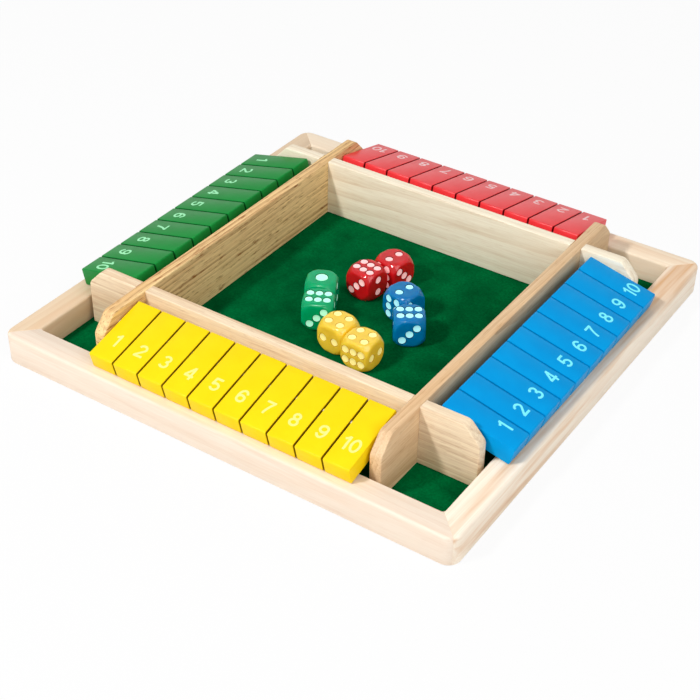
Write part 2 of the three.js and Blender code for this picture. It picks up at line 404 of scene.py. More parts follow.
# %% Model the ring
def is_upright_at(distance):
    """A test for the upright edges at the four corners of a square of that half width."""
    def test(edge):
        a, b = (vert.co for vert in edge.verts)
        upright = abs(a.x - b.x) + abs(a.y - b.y) < HAIR
        return upright and abs(abs(a.x) - distance) + abs(abs(a.y) - distance) < HAIR
    return test


def is_rim(edge):
    """A test for the edges between a level face and an upright one."""
    levels = sorted(abs(face.normal.z) for face in edge.link_faces)
    return len(levels) == 2 and levels[0] < SIDEWAYS and levels[1] > UPWARD


ring = add_block("rail_ring", frame_low, frame_high)
edit(ring)
pick("FACE", lambda face: face.normal.z > UPWARD)
bpy.ops.mesh.inset(thickness=rail_width)
bpy.ops.mesh.delete(type="FACE")
pick("FACE", lambda face: face.normal.z < -UPWARD)
bpy.ops.mesh.inset(thickness=rail_width - rebate_width)
bpy.ops.mesh.extrude_region_move(TRANSFORM_OT_translate={"value": (0, 0, base_high.z)})
bpy.ops.mesh.inset(thickness=rebate_width)
bpy.ops.mesh.delete(type="FACE")
pick("EDGE", lambda edge: edge.is_boundary)
bpy.ops.mesh.bridge_edge_loops()
pick("EDGE", is_upright_at(frame_high.x))
bpy.ops.mesh.bevel(offset=outer_corner_radius, segments=10, affect="EDGES")
pick("EDGE", is_upright_at(rail_inner_face))
bpy.ops.mesh.bevel(offset=inner_corner_radius, segments=5, affect="EDGES")
pick("EDGE", lambda edge: is_rim(edge) and edge.verts[0].co.z > base_high.z + seat_gap)
bpy.ops.mesh.bevel(offset=rail_edge_radius, segments=4, affect="EDGES")
pick("EDGE", lambda edge: is_rim(edge) and edge.verts[0].co.z < seat_gap
     and max(map(abs, edge.verts[0].co)) > base_high.x + rebate_width / 2)
bpy.ops.mesh.bevel(offset=rail_edge_radius / 2, segments=2, affect="EDGES")
bpy.ops.object.mode_set(mode="OBJECT")
print(f"ring with {len(ring.data.polygons)} faces")

# %% [markdown]
# A bisect with a fill saws the ring flat through a corner. Two such cuts, each half the gap clear
# of its mitre, leave the front rail, and quarter turns put its copies on the other sides.

# %% Cut one rail out of the ring and copy it to the four sides
edit(ring)
for side in (-1, 1):
    mitre = Vector((side, 1, 0)).normalized()
    bpy.ops.mesh.select_all(action="SELECT")
    bpy.ops.mesh.bisect(
        plane_co=-mitre * mitre_gap / 2, plane_no=mitre, use_fill=True, clear_outer=True,
    )
    pick("EDGE", lambda edge: any(face.normal.dot(mitre) > SQUARE_ON for face in edge.link_faces))
    bpy.ops.mesh.bevel(offset=mitre_easing, segments=1, affect="EDGES")
finish_shape(ring)

for turns, side in enumerate(SIDES):
    rail = copy_of(ring, f"{side}_rail", quarter_turns(turns))
    rail.data.materials.append(rail_pine[side])
    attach(rail, "board")
    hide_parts("outer_frame")
bpy.data.objects.remove(ring)
print("four rails,", len(rail.data.polygons), "faces each")

# %% [markdown]
# ## The inner frame's boards
#
# Four 6 mm pine boards cross near their ends. Where two cross, each is notched to half its
# height and they slot together like egg-box dividers. The ends run on as cheeks that carry the
# hinge rods, and their upper corners are cut off at a slant so that fingers can reach the tiles.
#
# A board starts as a block. Two slanting bisects take off its corners, a bevel sands all its edges,
# and Boolean cuts make the notches and the blind holes for the rods. The front and back boards
# are notched from above, and the left and right ones from below, which run whole along the top.

# %% Model a board with its notches above or below
board_low, board_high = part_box("front_wall")
rod_low, rod_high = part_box("yellow_hinge_rod")
rod_radius = (rod_high.z - rod_low.z) / 2
rod_place = (rod_low + rod_high) / 2
board_thickness = board_high.y - board_low.y
board_height = board_high.z - board_low.z
board_middle = (board_low.y + board_high.y) / 2
chamfer_length = 7.8 * MM
chamfer_drop = 8.4 * MM
chamfer_corner_radius = 1.6 * MM
board_edge_radius = 0.5 * MM
notch_clearance = 0.1 * MM
seat_clearance = 0.1 * MM
overrun = 1 * MM


def model_board(name, notched_above):
    board = add_block(name, board_low, board_high)
    edit(board)
    for side in (-1, 1):
        slant = Vector((side * chamfer_drop, 0, chamfer_length)).normalized()
        bpy.ops.mesh.select_all(action="SELECT")
        bpy.ops.mesh.bisect(
            plane_co=(side * (board_high.x - chamfer_length), 0, board_high.z),
            plane_no=slant, use_fill=True, clear_outer=True,
        )
    pick("EDGE", lambda edge: edge.calc_length() < board_thickness + HAIR
         and all(vert.co.z > board_low.z + board_height / 2 for vert in edge.verts))
    bpy.ops.mesh.bevel(offset=chamfer_corner_radius, segments=4, affect="EDGES")
    pick("EDGE", lambda edge: edge.calc_face_angle(0) > SHARP)
    bpy.ops.mesh.bevel(offset=board_edge_radius, segments=3, affect="EDGES")
    bpy.ops.object.mode_set(mode="OBJECT")
    half_width = board_thickness / 2 + notch_clearance
    middle_height = (board_low.z + board_high.z) / 2
    if notched_above:
        notch_bottom, notch_top = middle_height - notch_clearance / 2, board_high.z + overrun
    else:
        notch_bottom, notch_top = board_low.z - overrun, middle_height + notch_clearance / 2
    for side in (-1, 1):
        crossing = -side * board_middle
        notch = add_block("notch", (crossing - half_width, board_low.y - overrun, notch_bottom),
                          (crossing + half_width, board_high.y + overrun, notch_top))
        cut(board, notch)
        deselect_all()
        seat_depth = rod_high.x + board_high.y + 2 * seat_clearance
        bpy.ops.mesh.primitive_cylinder_add(
            vertices=24, radius=rod_radius + seat_clearance, depth=seat_depth + overrun,
            location=(side * -rod_place.y, board_high.y + (overrun - seat_depth) / 2, rod_place.z),
            rotation=(math.pi / 2, 0, 0),
        )
        cut(board, name_new("seat"))
    finish_shape(board)
    return board


boards = [model_board("board_notched_above", True), model_board("board_notched_below", False)]
for turns, side in enumerate(SIDES):
    board = copy_of(boards[turns % 2], f"{side}_board", quarter_turns(turns))
    board.data.materials.append(board_pine[side])
    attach(board, "board")
    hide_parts(f"{side}_wall")
for board in boards:
    bpy.data.objects.remove(board)
print(f"boards {board_thickness / MM:.1f} mm thick and {board_height / MM:.1f} mm high")

# %% [markdown]
# ## Felt and base board
#
# The floor is pressed craft felt, 0.6 mm thick, glued to a hardboard base. Felt has no weave: it
# is a mat of short fibres that lie every way, so up close it is mottled, and it scatters light at
# a low angle, which the shader's sheen gives.
#
# The felt is laid flat and glued, so no cloth simulation is needed. It is a rounded square, cut
# from one piece, with a slightly soft edge. Its clumps of fibre stand about 1.2 mm apart, and the
# nap lies lighter and darker in patches about 14 mm apart. Hardboard is mottled in the same way,
# so one function mixes two colours by a fine noise times a coarse one.

# %% Felt finish
FELT_CLUMPS = (1.2 * MM, 5, 0.65)
FELT_NAP = (14 * MM, 2, 0.5)


def mottled(finish, place, fine, coarse, low, high, dark, light):
    """A mottled colour and its fine noise. A noise is given as spacing, detail and roughness."""
    noises = []
    for spacing, detail, roughness in (fine, coarse):
        noise = add_node(finish, "TexNoise", {
            "Vector": place, "Scale": 1 / spacing, "Detail": detail, "Roughness": roughness,
        })
        noises.append(noise.outputs["Fac"])
    product = add_node(finish, "Math", {0: noises[0], 1: noises[1]}, operation="MULTIPLY")
    share = add_node(finish, "MapRange", {
        "Value": product.outputs[0], "From Min": low, "From Max": high,
    })
    colour = add_node(finish, "MixRGB", {
        "Fac": share.outputs[0], "Color1": linear(dark), "Color2": linear(light),
    })
    return colour.outputs[0], noises[0]


felt_finish, felt_place = new_finish("green_pressed_felt")
felt_colour, clumps = mottled(
    felt_finish, felt_place, FELT_CLUMPS, FELT_NAP, low=0.12, high=0.42,
    dark="004A24", light="006C38",
)
fibre_relief = add_node(felt_finish, "Bump", {
    "Height": clumps, "Strength": 0.5, "Distance": 0.25 * MM,
})
close_finish(felt_finish, add_node(felt_finish, "BsdfPrincipled", {
    "Base Color": felt_colour, "Roughness": 1.0, "Specular IOR Level": 0.0,
    "Sheen Weight": 0.06, "Sheen Roughness": 0.5, "Sheen Tint": linear("3FA070"),
    "Normal": fibre_relief.outputs[0],
}))
print("finish:", felt_finish.name)

# %% Lay the felt
felt_edge_radius = 0.25 * MM
felt = add_block("felt_cloth", felt_low, felt_high)
edit(felt)
pick("EDGE", is_upright_at(felt_high.x))
bpy.ops.mesh.bevel(offset=inner_corner_radius, segments=5, affect="EDGES")
pick("EDGE", lambda edge: is_rim(edge) and edge.verts[0].co.z > (felt_low.z + felt_high.z) / 2)
bpy.ops.mesh.bevel(offset=felt_edge_radius, segments=2, affect="EDGES")
finish_shape(felt)
felt.data.materials.append(felt_finish)
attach(felt, "board")
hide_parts("felt_sheet")

# %% [markdown]
# The base board's plain slab is already its true shape, and only its underside shows. It keeps
# its solid and gets the finish of hardboard: pressed wood fibre, brown, with a fine speckle.

# %% Hardboard finish
WOOD_SPECKLE = (0.9 * MM, 4, 0.7)
WOOD_PATCHES = (22 * MM, 3, 0.5)
hardboard, hardboard_place = new_finish("pressed_hardboard")
brown, speckle = mottled(
    hardboard, hardboard_place, WOOD_SPECKLE, WOOD_PATCHES, low=0.13, high=0.4,
    dark="A97B4B", light="D2AC7C",
)
pressed = add_node(hardboard, "Bump", {"Height": speckle, "Strength": 0.3, "Distance": 0.1 * MM})
close_finish(hardboard, add_node(hardboard, "BsdfPrincipled", {
    "Base Color": brown, "Roughness": 0.62, "Normal": pressed.outputs[0], "IOR": 1.5,
}))
base_board = frame["nodes"]["base_board"]
base_board.data.materials.clear()
base_board.data.materials.append(hardboard)
print("base board", round((base_high.z - base_low.z) / MM, 1), "mm thick")

# %% [markdown]
# ## Hinge rods
#
# Each row turns on one length of bright drawn steel rod, 2.4 mm across, pushed into blind holes in
# the two cheeks. It shows only as a glint between two tiles. Drawing leaves fine scratches, which
# spread the glint.

# %% Steel finish
SCRATCH_SPACING = 0.2 * MM
steel, steel_place = new_finish("bright_drawn_steel")
scratches = add_node(steel, "TexNoise", {
    "Vector": steel_place, "Scale": 1 / SCRATCH_SPACING, "Detail": 2,
})
steel_roughness = add_node(steel, "MapRange", {
    "Value": scratches.outputs["Fac"], "To Min": 0.3, "To Max": 0.5,
})
close_finish(steel, add_node(steel, "BsdfPrincipled", {
    "Base Color": linear("E6E8EA"), "Metallic": 1.0, "Roughness": steel_roughness.outputs[0],
}))

print("finish:", steel.name)

# %% Four rods
rod_end_chamfer = 0.3 * MM
row_colours = ("yellow", "blue", "red", "green")
deselect_all()
bpy.ops.mesh.primitive_cylinder_add(
    vertices=32, radius=rod_radius, depth=rod_high.x - rod_low.x,
    location=rod_place, rotation=(0, math.pi / 2, 0),
)
rod = name_new("hinge_rod")
edit(rod)
pick("EDGE", lambda edge: edge.calc_face_angle(0) > SHARP)
bpy.ops.mesh.bevel(offset=rod_end_chamfer, segments=2, affect="EDGES")
finish_shape(rod)
rod.data.materials.append(steel)
for turns, colour in enumerate(row_colours):
    row_rod = copy_of(rod, f"{colour}_rod", quarter_turns(turns))
    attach(row_rod, "board")
    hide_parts(f"{colour}_hinge_rod")
bpy.data.objects.remove(rod)
print(f"rods {2 * rod_radius / MM:.1f} mm across")

# %% [markdown]
# ## Painted tiles
#
# A tile is a small block of pine, drilled across for the rod and sprayed with two coats of
# enamel. The paint rounds the edges, fills most of the grain and dries to a satin gloss with a
# faint orange peel. So the shader is a plain saturated colour with two reliefs: long soft lines
# where the grain still shows, and an orange peel about 0.8 mm across.
#
# The sides that face a neighbour get a darker copy of the row's paint. It is painted shade, which
# makes the gaps look dark, except between the blue ones.
#
# A paint is its colour, the colour where it lies thicker, and how much it shines.

# %% Enamel paint
GRAIN_SPACING = 1.4 * MM
GRAIN_LENGTH = 30 * MM
PEEL_SPACING = 0.8 * MM
COAT_SPACING = 9 * MM
paint_looks = {
    "yellow": ("FCDE12", "FAD208", 0.1),
    "blue": ("009EE2", "0090D6", 0.06),
    "red": ("F4383D", "E4282F", 0.4),
    "green": ("148F3C", "0A7C2F", 0.12),
}
# Darker copies of the paints: painted shade for the sides that face a neighbour, to darken the
# gaps.
side_shade_paint_looks = {
    "yellow": ("A07C08", "826208", 0.1),
    "blue": ("008CCE", "0080BE", 0.06),
    "red": ("98181C", "801418", 0.2),
    "green": ("0B5A24", "084A1C", 0.1),
}


def patchy_colour(finish, place, spacing, detail, one, other):
    """One colour that goes over into another in patches."""
    patches = add_node(finish, "TexNoise", {
        "Vector": place, "Scale": 1 / spacing, "Detail": detail,
    })
    mixed = add_node(finish, "MixRGB", {
        "Fac": patches.outputs["Fac"], "Color1": linear(one), "Color2": linear(other),
    })
    return mixed.outputs[0]


def enamel(name, colour, shade, gloss_level, along):
    """Sprayed enamel over pine whose grain runs along X or Y."""
    finish, place = new_finish(name)
    grain_scale = (1 / GRAIN_SPACING, 1 / GRAIN_LENGTH, 1 / GRAIN_SPACING)
    turn = (0, 0, math.pi / 2 if along == "X" else 0)
    turned = add_node(finish, "Mapping", {"Vector": place, "Rotation": turn})
    grain_place = add_node(finish, "Mapping", {"Vector": turned.outputs[0], "Scale": grain_scale})
    grain = add_node(finish, "TexNoise", {
        "Vector": grain_place.outputs[0], "Scale": 1, "Detail": 3,
    })
    peel = add_node(finish, "TexNoise", {"Vector": place, "Scale": 1 / PEEL_SPACING, "Detail": 1})
    gloss = add_node(finish, "MapRange", {
        "Value": grain.outputs["Fac"], "To Min": 0.28, "To Max": 0.42,
    })
    grain_relief = add_node(finish, "Bump", {
        "Height": grain.outputs["Fac"], "Strength": 0.25, "Distance": 0.1 * MM,
    })
    relief = add_node(finish, "Bump", {
        "Height": peel.outputs["Fac"], "Strength": 0.12, "Distance": 0.08 * MM,
        "Normal": grain_relief.outputs[0],
    })
    return close_finish(finish, add_node(finish, "BsdfPrincipled", {
        "Base Color": patchy_colour(finish, place, COAT_SPACING, 2, colour, shade),
        "Roughness": gloss.outputs[0], "Normal": relief.outputs[0],
        "IOR": 1.5, "Specular IOR Level": gloss_level,
    }))


paints = {}
side_shade_paints = {}
for turns, colour in enumerate(row_colours):
    along = "YX"[turns % 2]
    paints[colour] = enamel(f"{colour}_enamel", *paint_looks[colour], along)
    side_shade_paints[colour] = enamel(f"{colour}_side_shade_enamel", *side_shade_paint_looks[colour], along)
print("paints:", ", ".join(paints))

# %% [markdown]
# One tile is modelled in its own frame, with the rod's hole at the origin, its outer end along -Y
# and its numbered face up. Each copy then gets the matrix that lays it on the rail: its hinge's
# place, its row's turn, and its slope. The slope and the tile's size are measured on the solid.

# %% Measure a tile
hinges = {joint["child"]: joint for joint in frame["joints"] if joint["type"] == "hinge"}


def slope_of(node):
    """How far the solid's largest upper face leans from level."""
    upper = [face for face in frame["nodes"][node].data.polygons if face.normal.z > UPWARD]
    return math.acos(max(upper, key=lambda face: face.area).normal.z)


tile_slope = slope_of("yellow_tile_1")


def tile_place(tile):
    """The matrix from a tile's own frame to its place on the board."""
    axis = hinges[tile]["axis"]
    row_turn = math.atan2(-axis[1], -axis[0])
    return (Matrix.Translation(hinges[tile]["pos_m"]) @ Matrix.Rotation(row_turn, 4, "Z")
            @ Matrix.Rotation(tile_slope, 4, "X"))


to_own_frame = tile_place("yellow_tile_1").inverted()
own_corners = [to_own_frame @ vert.co for vert in frame["nodes"]["yellow_tile_1"].data.vertices]
tile_low = Vector([min(corner[axis] for corner in own_corners) for axis in range(3)])
tile_high = Vector([max(corner[axis] for corner in own_corners) for axis in range(3)])
tile_size = [round(length / MM, 1) for length in tile_high - tile_low]
print(f"{tile_size} mm, sloping {math.degrees(tile_slope):.1f} degrees")

# %% [markdown]
# The tile's ends are sanded rounder than its sides, so two bevels follow each other. The hole is
# a Boolean cut, wider than the rod by the clearance that lets the tile turn.
#
# The mesh gets three places for paint. Material places belong to a mesh, so each copy can fill
# them with its own row's paints. The outer sides of a row's two end tiles get the full coat, and
# the sides between tiles get the darker copy, painted shade.

# %% Model the tile
tile_end_radius = 0.75 * MM
tile_side_radius = 0.3 * MM
running_clearance = 0.3 * MM

tile = add_block("tile", tile_low, tile_high)
edit(tile)
pick("EDGE", lambda edge: abs(edge.verts[0].co.x - edge.verts[1].co.x) > HAIR)
bpy.ops.mesh.bevel(offset=tile_end_radius, segments=3, affect="EDGES")
pick("EDGE", lambda edge: any(abs(face.normal.x) > SQUARE_ON for face in edge.link_faces))
bpy.ops.mesh.bevel(offset=tile_side_radius, segments=2, affect="EDGES")
bpy.ops.object.mode_set(mode="OBJECT")
deselect_all()
bpy.ops.mesh.primitive_cylinder_add(
    vertices=24, radius=rod_radius + running_clearance,
    depth=tile_high.x - tile_low.x + 2 * overrun, rotation=(0, math.pi / 2, 0),
)
cut(tile, name_new("rod_hole"))
finish_shape(tile)
LEFT_SIDE = 1
RIGHT_SIDE = 2
for finish_place in ("painted_place", "left_side_place", "right_side_place"):
    tile.data.materials.append(bpy.data.materials.new(finish_place))
for face in tile.data.polygons:
    if abs(face.normal.x) > SQUARE_ON:
        face.material_index = LEFT_SIDE if face.normal.x < 0 else RIGHT_SIDE
print("one tile with", len(tile.data.polygons), "faces")

# %% Paint forty copies
last_number = max(int(name.split("_")[-1]) for name in hinges)
for name in hinges:
    painted = copy_of(tile, f"{name}_painted", tile_place(name))
    colour, _, number = name.split("_")
    painted.data.materials[0] = paints[colour]
    # Sides between two tiles take the darker copy, painted shade in the gap.
    for side, end_number in ((LEFT_SIDE, 1), (RIGHT_SIDE, last_number)):
        coat = paints if int(number) == end_number else side_shade_paints
        painted.data.materials[side] = coat[colour]
    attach(painted, name)
    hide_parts(name)
bpy.data.objects.remove(tile)
print(len(hinges), "tiles painted")

# %% [markdown]
# ## Numbers
#
# The numbers are printed in thick white ink with a plain sans serif shape. Blender's own font has
# another style of 1, 6 and 9, so the digits are drawn here with a pen: each stroke is a curve made
# of lines and arcs, and a flat rectangular nib sweeps along it, 1.15 mm wide and as thick as the
# ink. A digit with more than one stroke is joined into one solid. Each stroke is a hair thicker
# than the one before, because a union goes wrong where two faces lie in one plane.
#
# Points are shares of the digit's height, with x = 0 in the middle of the digit.

# %% Draw the strokes of each digit
number_height = 7.4 * MM
ink_width = 1.15 * MM
ink_thickness = 0.08 * MM
ink_sunk = 0.03 * MM
half_stroke = ink_width / number_height / 2
ARC_STEP = math.radians(15)


def arc(middle, radii, start, end):
    """Points on part of an ellipse, between angles in degrees. A lower end turns clockwise."""
    start = math.radians(start)
    end = math.radians(end)
    steps = max(2, round(abs(end - start) / ARC_STEP))
    angles = [start + (end - start) * step / steps for step in range(steps + 1)]
    return [(middle[0] + radii[0] * math.cos(angle), middle[1] + radii[1] * math.sin(angle))
            for angle in angles]


def ring_path(middle, radii):
    return arc(middle, radii, 0, 360)[:-1]


def upside_down(strokes):
    return [([(-x, 1 - y) for x, y in points], closed) for points, closed in strokes]


low_line = half_stroke
top_line = 1 - half_stroke
six = [
    (ring_path((0.01, 0.31), (0.25, 0.31 - low_line)), True),
    (arc((0.04, 0.5), (0.28, 0.5 - low_line), 200, 28), False),
]
digit_strokes = {
    "0": [(ring_path((0, 0.5), (0.25, 0.5 - low_line)), True)],
    "1": [([(0.08, 0), (0.08, 1)], False), ([(-0.19, 0.74), (-0.04, 0.82), (0.08, 0.95)], False)],
    "2": [(arc((0, 0.7), (0.25, 0.3 - low_line), 170, -32) + [(-0.24, low_line + 0.03)], False),
          ([(-0.32, low_line), (0.32, low_line)], False)],
    "3": [(arc((-0.02, 0.72), (0.23, 0.28 - low_line), 158, -90), False),
          (arc((-0.02, 0.295), (0.26, 0.295 - low_line), 90, -158), False)],
    "4": [([(0.14, 0), (0.14, 1)], False), ([(0.12, 0.95), (-0.27, 0.3)], False),
          ([(-0.33, 0.28), (0.33, 0.28)], False)],
    "5": [([(-0.19, top_line), (0.28, top_line)], False), ([(-0.18, 0.97), (-0.24, 0.44)], False),
          (arc((-0.01, 0.325), (0.26, 0.325 - low_line), 152, -158), False)],
    "6": six,
    "7": [([(-0.31, top_line), (0.31, top_line)], False),
          ([(0.27, 0.93), (0.12, 0.7), (0.0, 0.45), (-0.07, 0.22), (-0.1, 0)], False)],
    "8": [(ring_path((0, 0.735), (0.2, 0.265 - low_line)), True),
          (ring_path((0, 0.3), (0.25, 0.3 - low_line)), True)],
    "9": upside_down(six),
}
print("strokes for the digits", "".join(digit_strokes))

# %% [markdown]
# A curve's bevel object is the nib's outline. With the twist mode Z up it keeps its flat side
# down all along the stroke, and fill caps close the ends. The curve then becomes a mesh, where
# doubled points are merged and the faces are turned outwards.

# %% Sweep the nib along the strokes
WELD = 0.001 * MM


def sweep_stroke(points, closed, nib):
    """One stroke as a flat solid of ink in the XY plane."""
    curve = bpy.data.curves.new("stroke", "CURVE")
    curve.dimensions = "3D"
    curve.twist_mode = "Z_UP"
    curve.bevel_mode = "OBJECT"
    curve.bevel_object = nib
    curve.use_fill_caps = True
    spline = curve.splines.new("POLY")
    spline.points.add(len(points) - 1)
    for point, (x, y) in zip(spline.points, points):
        point.co = (x * number_height, y * number_height, 0, 1)
    spline.use_cyclic_u = closed
    stroke = bpy.data.objects.new("stroke", curve)
    bpy.context.collection.objects.link(stroke)
    deselect_all()
    stroke.select_set(True)
    bpy.context.view_layer.objects.active = stroke
    bpy.ops.object.convert(target="MESH")
    edit(stroke)
    bpy.ops.mesh.select_all(action="SELECT")
    bpy.ops.mesh.remove_doubles(threshold=WELD)
    bpy.ops.mesh.normals_make_consistent(inside=False)
    bpy.ops.object.mode_set(mode="OBJECT")
    return stroke


nib_curve = bpy.data.curves.new("nib", "CURVE")
nib_curve.dimensions = "2D"
nib_spline = nib_curve.splines.new("POLY")
nib_spline.points.add(3)
for point, (x, y) in zip(nib_spline.points, ((-1, -1), (1, -1), (1, 1), (-1, 1))):
    point.co = (x * ink_width / 2, y * ink_thickness / 2, 0, 1)
nib_spline.use_cyclic_u = True
nib = bpy.data.objects.new("nib", nib_curve)
bpy.context.collection.objects.link(nib)

layer_share = 0.04
digits = {}
for digit, strokes in digit_strokes.items():
    digits[digit] = sweep_stroke(*strokes[0], nib)
    for layer, points_and_closed in enumerate(strokes[1:], start=1):
        stroke = sweep_stroke(*points_and_closed, nib)
        stroke.data.transform(Matrix.Diagonal((1, 1, 1 + layer * layer_share, 1)))
        cut(digits[digit], stroke, "UNION")
    finish_shape(digits[digit])
bpy.data.objects.remove(nib)
print("digits with faces:", {digit: len(piece.data.polygons) for digit, piece in digits.items()})

# %% [markdown]
# The four strips of numbers weren't stamped alike. Seen square on, the yellow and green numbers
# sit in the middle of their tiles. The blue and red ones start a little to the right of the
# middle at 1 and come back to it at 10, because their stamp has a shorter pitch than the tiles.
# They also sit at slightly different distances from the inner end.
#
# The ink is thin enough that the paint below tints it, here more and there less.

# %% Printing inks
INK_SPOT_SPACING = 0.6 * MM


def printing_ink(name, thick, thin):
    """White ink with one tint where it lies thick and another where it lies thin."""
    finish, place = new_finish(name)
    return close_finish(finish, add_node(finish, "BsdfPrincipled", {
        "Base Color": patchy_colour(finish, place, INK_SPOT_SPACING, 3, thick, thin),
        "Roughness": 0.5, "IOR": 1.5, "Specular IOR Level": 0.08,
    }))


ink_looks = {
    "yellow": ("FFF6A8", "FAE660"),
    "blue": ("92FBFF", "62E6F8"),
    "red": ("FFE8E8", "F0B4B4"),
    "green": ("B8FACC", "8CE8A8"),
}
inks = {}
for colour, tints in ink_looks.items():
    inks[colour] = printing_ink(f"white_ink_on_{colour}", *tints)
print("inks:", ", ".join(ink.name for ink in inks.values()))

# %% Print a number on each tile
# For each row: millimetres from the inner end to the number's middle, then how far right of the
# tile's middle the number sits on tile 1 and on tile 10.
number_layout = {
    "yellow": (25.0, 0.5, -0.3),
    "blue": (26.8, 2.8, -0.2),
    "red": (28.2, 1.0, 0.0),
    "green": (26.6, 0.0, 0.0),
}
digit_advance = 0.62 * number_height
for name in hinges:
    colour, _, number = name.split("_")
    from_inner_end, first_shift, last_shift = number_layout[colour]
    along_row = (int(number) - 1) / (last_number - 1)
    shift = (first_shift + (last_shift - first_shift) * along_row) * MM
    middle_y = tile_high.y - from_inner_end * MM - number_height / 2
    parts = []
    for index, digit in enumerate(number):
        x = shift + (index - (len(number) - 1) / 2) * digit_advance
        on_tile = Matrix.Translation((x, middle_y, tile_high.z + ink_thickness / 2 - ink_sunk))
        parts.append(copy_of(digits[digit], f"{name}_digit_{index}", tile_place(name) @ on_tile))
    printed = join(parts, f"{colour}_number_{number}")
    printed.data.materials.append(inks[colour])
    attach(printed, name)
for piece in digits.values():
    bpy.data.objects.remove(piece)
print("numbers printed on", len(hinges), "tiles")

# %% [markdown]
# ## Dice
#
# The dice are 16 mm cubes of cast acrylic, coloured but clear enough to glow where light passes
# through. Their corners are turned off to a ball and then tumbled, which rounds every edge.
#
# The ball is a Boolean intersection. Tumbling is a Remesh into even small faces and a Smooth,
# which wear an edge down just as rolling in abrasive does. Bevels would have to follow many
# curved edges instead.

# %% Model the body of one die
die_low, die_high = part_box("green_die_1")
die_half = (die_high.z - die_low.z) / 2
die_centre = (die_low + die_high) / 2
die_corners = [vert.co for vert in frame["nodes"]["green_die_1"].data.vertices]
ball_radius = max((corner - die_centre).length for corner in die_corners)
die_edge_radius = 1.8 * MM
tumbling_grain = 0.35 * MM

die_body = add_block("die_body", (-die_half,) * 3, (die_half,) * 3)
edit(die_body)
bpy.ops.mesh.select_all(action="SELECT")
bpy.ops.mesh.bevel(offset=die_edge_radius, segments=4, affect="EDGES")
bpy.ops.object.mode_set(mode="OBJECT")
deselect_all()
bpy.ops.mesh.primitive_uv_sphere_add(segments=96, ring_count=48, radius=ball_radius)
cut(die_body, name_new("corner_ball"), "INTERSECT")
apply_modifier(die_body, "REMESH", mode="VOXEL", voxel_size=tumbling_grain)
apply_modifier(die_body, "SMOOTH", factor=0.5, iterations=14)
print("die body with", len(die_body.data.polygons), "faces")

# %% [markdown]
# The pips come last: 21 drilled pockets, filled with white paint that dries hollow. A narrow ring
# of the pocket's wall stays round the paint, and a darker finish on it, painted shade, outlines the
# pip. Opposite faces add up to seven.
#
# Each number has the direction its face looks in, the direction across that face, and its pips.
# The drill that cuts a pocket carries a second material place, so that the walls it leaves can
# get a darker finish of their own, which is painted shade.

# %% Where the pips lie
pip_radius = 2.18 * MM
big_pip_radius = 3.35 * MM
pocket_depth = 0.6 * MM
paint_gap = 0.32 * MM
paint_thickness = 0.4 * MM
pocket_floor_gap = 0.01 * MM
pip_spread = 3.5 * MM
six_long_spread = 4.45 * MM
six_short_spread = 2.8 * MM


def four_corners(spread):
    return [(x, y) for x in (-spread, spread) for y in (-spread, spread)]


die_faces = {
    1: ((0, 0, 1), (1, 0, 0), [(0, 0)]),
    2: ((1, 0, 0), (0, 0, 1), [(-pip_spread, 0), (pip_spread, 0)]),
    3: ((0, 1, 0), (1, 0, 0), [(-pip_spread, -pip_spread), (0, 0), (pip_spread, pip_spread)]),
    4: ((0, -1, 0), (1, 0, 0), four_corners(pip_spread)),
    5: ((-1, 0, 0), (0, 0, 1), four_corners(pip_spread) + [(0, 0)]),
    6: ((0, 0, -1), (1, 0, 0), [(x, y) for x in (-six_long_spread, 0, six_long_spread)
                                for y in (-six_short_spread, six_short_spread)]),
}
print(sum(len(spots) for _, _, spots in die_faces.values()), "pips")


# %% Model a pip and its pocket
# The material place for the pocket walls, which get painted shade.
SHADED_POCKET_WALL = 1
die_finish_places = [bpy.data.materials.new(name) for name in ("acrylic_place", "pocket_shade_place")]


def basis(x, y, z, place=(0, 0, 0)):
    """The matrix that turns the three axes to these directions and moves the origin to a place."""
    turn = Matrix((x, y, z)).transposed().to_4x4()
    return Matrix.Translation(place) @ turn


def model_pip(radius):
    """A disc of paint whose top two insets sink, in a pocket whose rim is at z = 0."""
    deselect_all()
    bpy.ops.mesh.primitive_cylinder_add(
        vertices=20, radius=radius - paint_gap, depth=paint_thickness,
        location=(0, 0, paint_thickness / 2 + pocket_floor_gap - pocket_depth),
    )
    pip = name_new("pip")
    edit(pip)
    pick("FACE", lambda face: face.normal.z > UPWARD)
    for inset_share, sink_share in ((0.3, 0.25), (0.35, 0.2)):
        bpy.ops.mesh.inset(thickness=radius * inset_share)
        bpy.ops.transform.translate(value=(0, 0, -paint_thickness * sink_share))
    finish_shape(pip, smooth_angle=50)
    return pip


def model_pocket(radius):
    deselect_all()
    bpy.ops.mesh.primitive_cylinder_add(vertices=20, radius=radius, depth=2 * pocket_depth)
    pocket = name_new("pocket")
    for finish in die_finish_places:
        pocket.data.materials.append(finish)
    # The pocket's faces take the darker finish, painted shade on the walls round each pip.
    for face in pocket.data.polygons:
        face.material_index = SHADED_POCKET_WALL
    return pocket


# %% Drill the pockets and lay the paint
pockets = []
pips = []
for number, (normal, across, spots) in die_faces.items():
    normal = Vector(normal)
    across = Vector(across)
    along = normal.cross(across)
    radius = big_pip_radius if number == 1 else pip_radius
    pocket = model_pocket(radius)
    pip = model_pip(radius)
    for x, y in spots:
        spot = basis(across, along, normal, normal * die_half + across * x + along * y)
        pockets.append(copy_of(pocket, "pocket_copy", spot))
        pips.append(copy_of(pip, "pip_copy", spot))
    bpy.data.objects.remove(pocket)
    bpy.data.objects.remove(pip)
for finish in die_finish_places:
    die_body.data.materials.append(finish)
cut(die_body, join(pockets, "pockets"))
finish_shape(die_body, smooth_angle=40)
die_pips = join(pips, "die_pips")
print("drilled die with", len(die_body.data.polygons), "faces")
